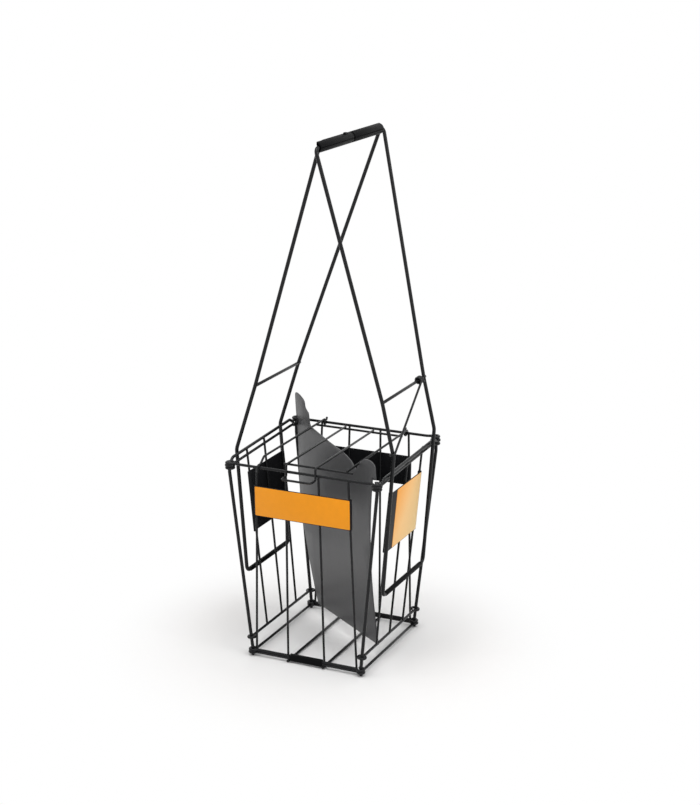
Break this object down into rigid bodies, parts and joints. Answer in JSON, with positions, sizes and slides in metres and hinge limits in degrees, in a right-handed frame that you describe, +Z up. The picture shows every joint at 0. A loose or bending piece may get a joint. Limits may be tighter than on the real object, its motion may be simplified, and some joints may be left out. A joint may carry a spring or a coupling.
{
  "type": "tennis ball hopper",
  "caption": "Black wire ball hopper with a tapered basket, a hinged wire lid, a diagonal divider, label plates, and two tall handles that fold over to become its legs.",
  "frame": {"origin": "on the floor, under the middle of the box round the whole hopper; the basket's own middle is 8 mm behind it, because the lid's latch loop reaches further forward than the rim's eyes reach back", "axes": "+Z up; +X to the right along the front of the basket; +Y from the front, with the latch loop and the front plate, to the back, with the lid's hinge"},
  "size_m": [0.2819, 0.2669, 0.8415],
  "materials": {
    "steel": "semi-gloss black powder coat on steel wire",
    "plate_sheet": "satin black sheet, wrapped round the wires",
    "label": "plain orange label film, soft gloss",
    "divider_sheet": "dark grey plastic sheet, soft sheen",
    "moulding": "black moulded plastic, fine matt texture"
  },
  "bodies": {
    "basket": {"corner_post_front_left": "steel", "corner_post_front_right": "steel", "corner_post_back_right": "steel", "corner_post_back_left": "steel", "front_panel": "steel", "back_panel": "steel", "left_panel": "steel", "right_panel": "steel", "floor_grid": "steel", "front_clip": "moulding", "front_plate": "plate_sheet", "back_plate": "plate_sheet", "left_plate": "plate_sheet", "right_plate": "plate_sheet", "front_label": "label", "back_label": "label", "left_label": "label", "right_label": "label", "divider": "divider_sheet"},
    "lid": {"lid_frame": "steel"},
    "left_bar": {"left_bar_sleeve": "moulding"},
    "right_bar": {"right_bar_sleeve": "moulding"},
    "left_handle": {"left_handle_frame": "steel", "left_grip_front": "moulding", "left_grip_back": "moulding"},
    "right_handle": {"right_handle_frame": "steel", "right_grip_front": "moulding", "right_grip_back": "moulding"},
    "rod": {"lock_rod": "steel"}
  },
  "joints": [
    {"name": "lid_hinge", "type": "hinge", "parent": "basket", "child": "lid", "pos_m": [0, 0.12602, 0.33455], "axis": [-1, 0, 0], "range_deg": [0, 72]},
    {"name": "left_bar_slide", "type": "slide", "parent": "basket", "child": "left_bar", "axis": [-0.0751, 0, 0.9972], "range_m": [0, 0.185]},
    {"name": "right_bar_slide", "type": "slide", "parent": "basket", "child": "right_bar", "axis": [0.0751, 0, 0.9972], "range_m": [0, 0.185]},
    {"name": "left_handle_fold", "type": "hinge", "parent": "left_bar", "child": "left_handle", "pos_m": [-0.121, 0.00802, 0.13], "axis": [0, -1, 0], "range_deg": [0, 175]},
    {"name": "right_handle_fold", "type": "hinge", "parent": "right_bar", "child": "right_handle", "pos_m": [0.121, 0.00802, 0.13], "axis": [0, 1, 0], "range_deg": [0, 175]},
    {"name": "lock_rod_swing", "type": "hinge", "parent": "right_handle", "child": "rod", "pos_m": [0.11908, 0.00802, 0.444], "axis": [0, -1, 0], "range_deg": [0, 150]}
  ]
}
